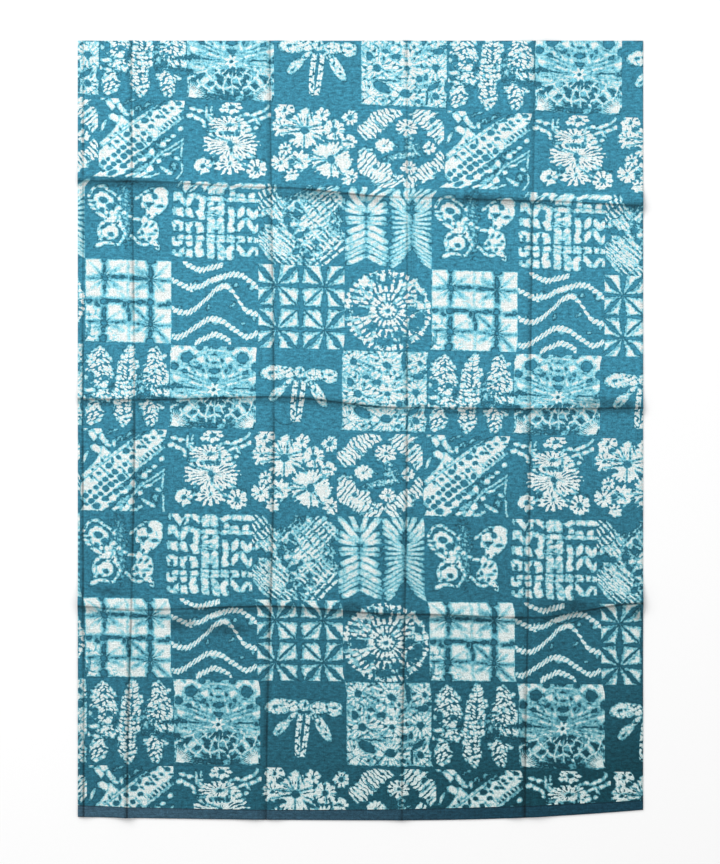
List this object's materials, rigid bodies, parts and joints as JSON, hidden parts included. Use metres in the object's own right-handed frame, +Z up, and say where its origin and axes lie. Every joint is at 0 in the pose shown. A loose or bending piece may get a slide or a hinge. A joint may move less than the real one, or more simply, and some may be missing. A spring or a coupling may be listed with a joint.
{
  "type": "cut length of block-printed sari cloth",
  "caption": "Thin rectangle of printed cotton sari cloth with a plain woven selvedge along one edge, lying flat with soft packing folds; rests on any level surface.",
  "frame": {"origin": "centre of the cloth's footprint, on the surface that it rests on", "axes": "+X along the sari, +Y across the loom width away from the selvedge, +Z up from the surface, through the thin way of the cloth"},
  "size_m": [0.725, 1, 0.0112],
  "materials": {
    "printed_cotton": "matt, finely woven, printed in teal with pale cyan and off-white motifs"
  },
  "bodies": {
    "root": {"sari_cloth": "printed_cotton"}
  },
  "joints": []
}
